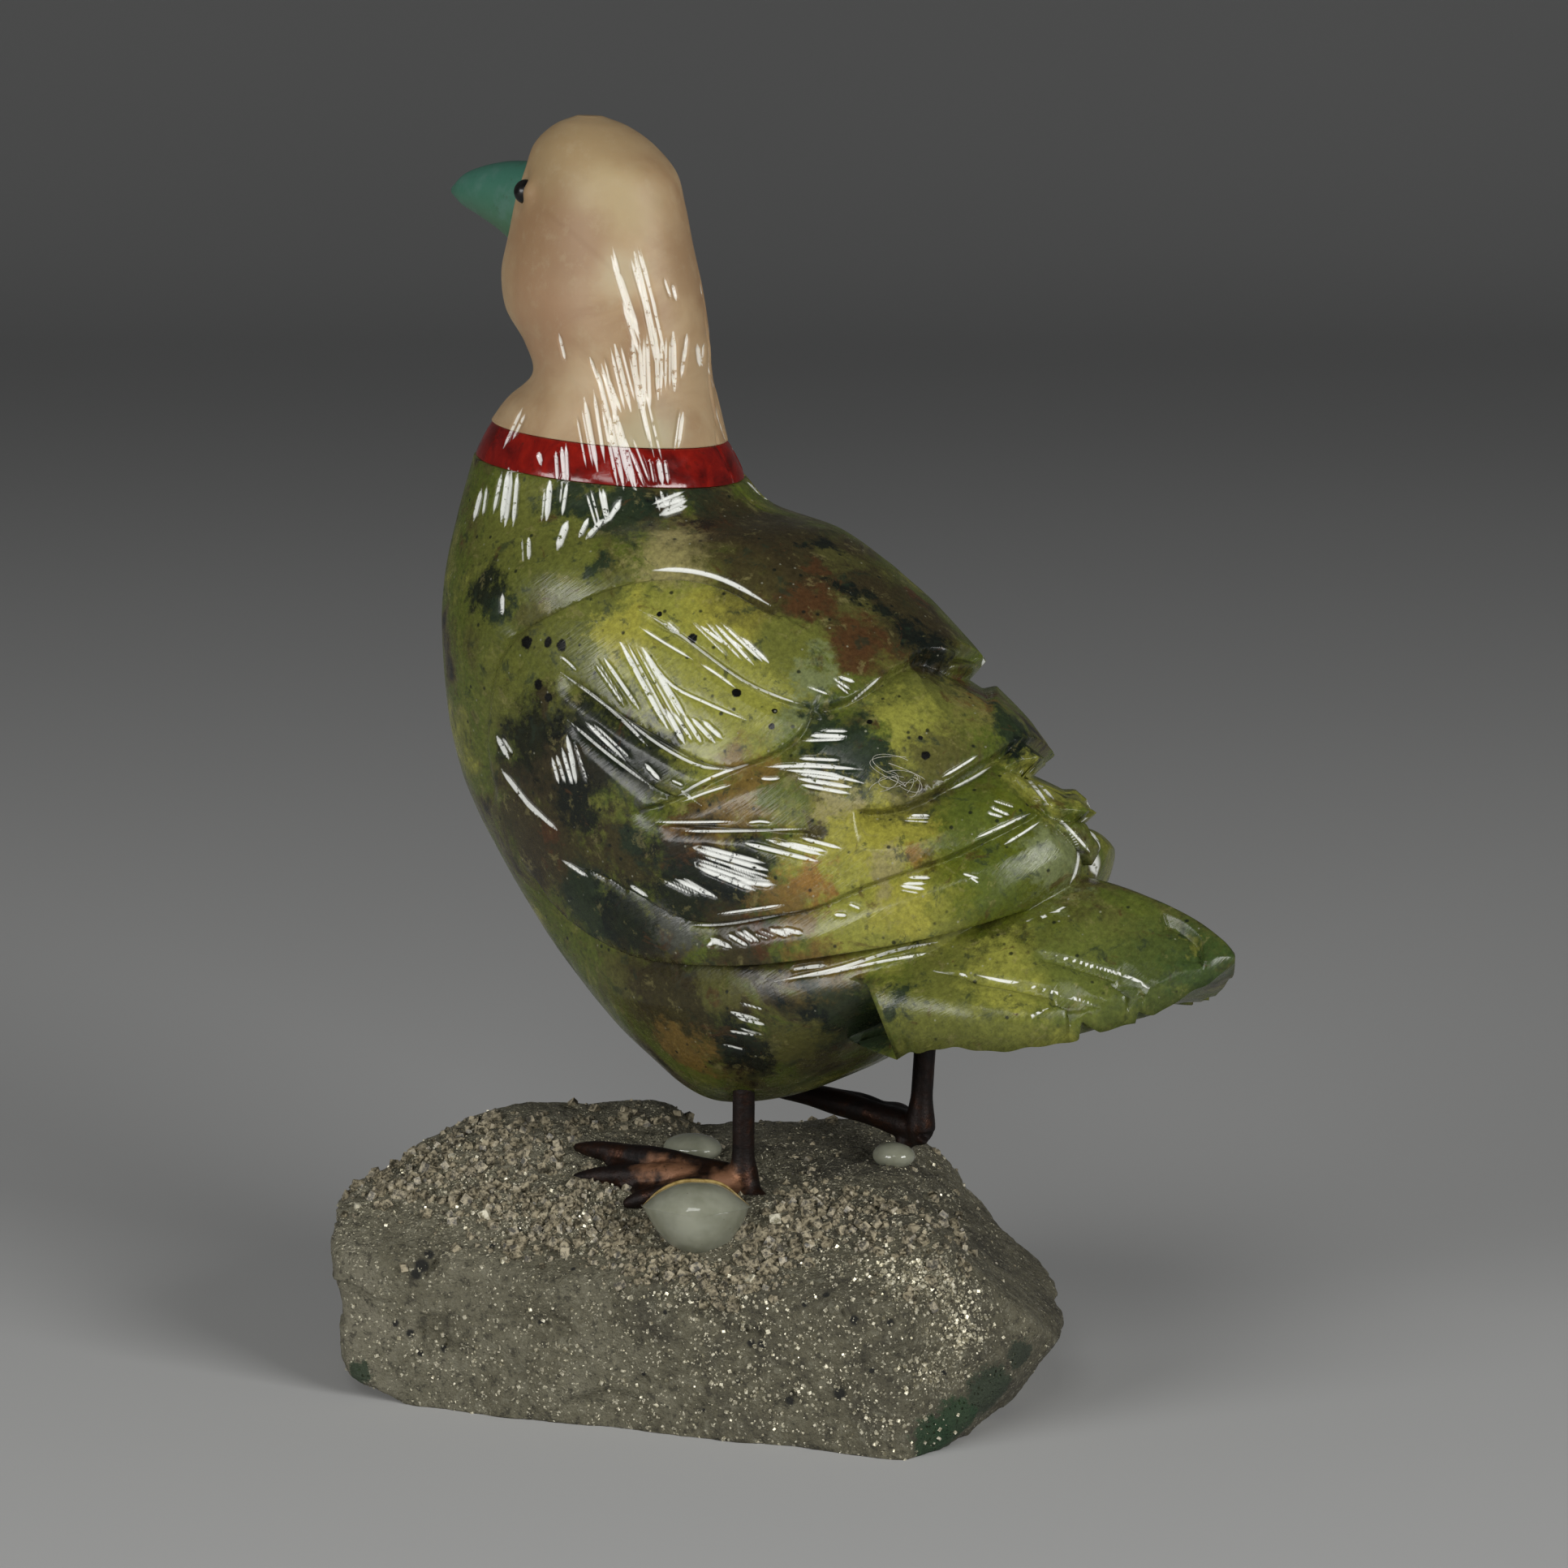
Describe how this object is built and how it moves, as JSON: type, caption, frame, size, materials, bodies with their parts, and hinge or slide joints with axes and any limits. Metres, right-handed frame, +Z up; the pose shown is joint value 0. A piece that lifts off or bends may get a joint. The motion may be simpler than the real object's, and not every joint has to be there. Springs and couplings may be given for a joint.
{
  "type": "stone duck carving",
  "caption": "Small standing duck carved from coloured stones, with a turned head, red collar and cast metal webbed feet, glued onto a rough glittering ore rock",
  "frame": {"origin": "middle of the rock's flat underside", "axes": "+Z up, the duck faces -X, its left side is towards -Y"},
  "size_m": [0.0649, 0.0402, 0.0854],
  "materials": {
    "brassy_ore": "rough broken ore with brassy glitter",
    "green_serpentine": "polished, mottled",
    "red_jasper": "polished",
    "pink_calcite": "polished, slightly milky",
    "blue_green_stone": "polished",
    "black_bead": "shiny black",
    "brown_cast_metal": "dark brown patina with a copper sheen",
    "dried_glue": "cloudy dried resin"
  },
  "bodies": {
    "root": {"rock_base": "brassy_ore", "body": "green_serpentine", "collar": "red_jasper", "head_and_neck": "pink_calcite", "beak": "blue_green_stone", "left_eye": "black_bead", "right_eye": "black_bead", "left_leg": "brown_cast_metal", "right_leg": "brown_cast_metal", "glue_bead_left": "dried_glue", "glue_drop_right": "dried_glue", "glue_patch_middle": "dried_glue"}
  },
  "joints": []
}
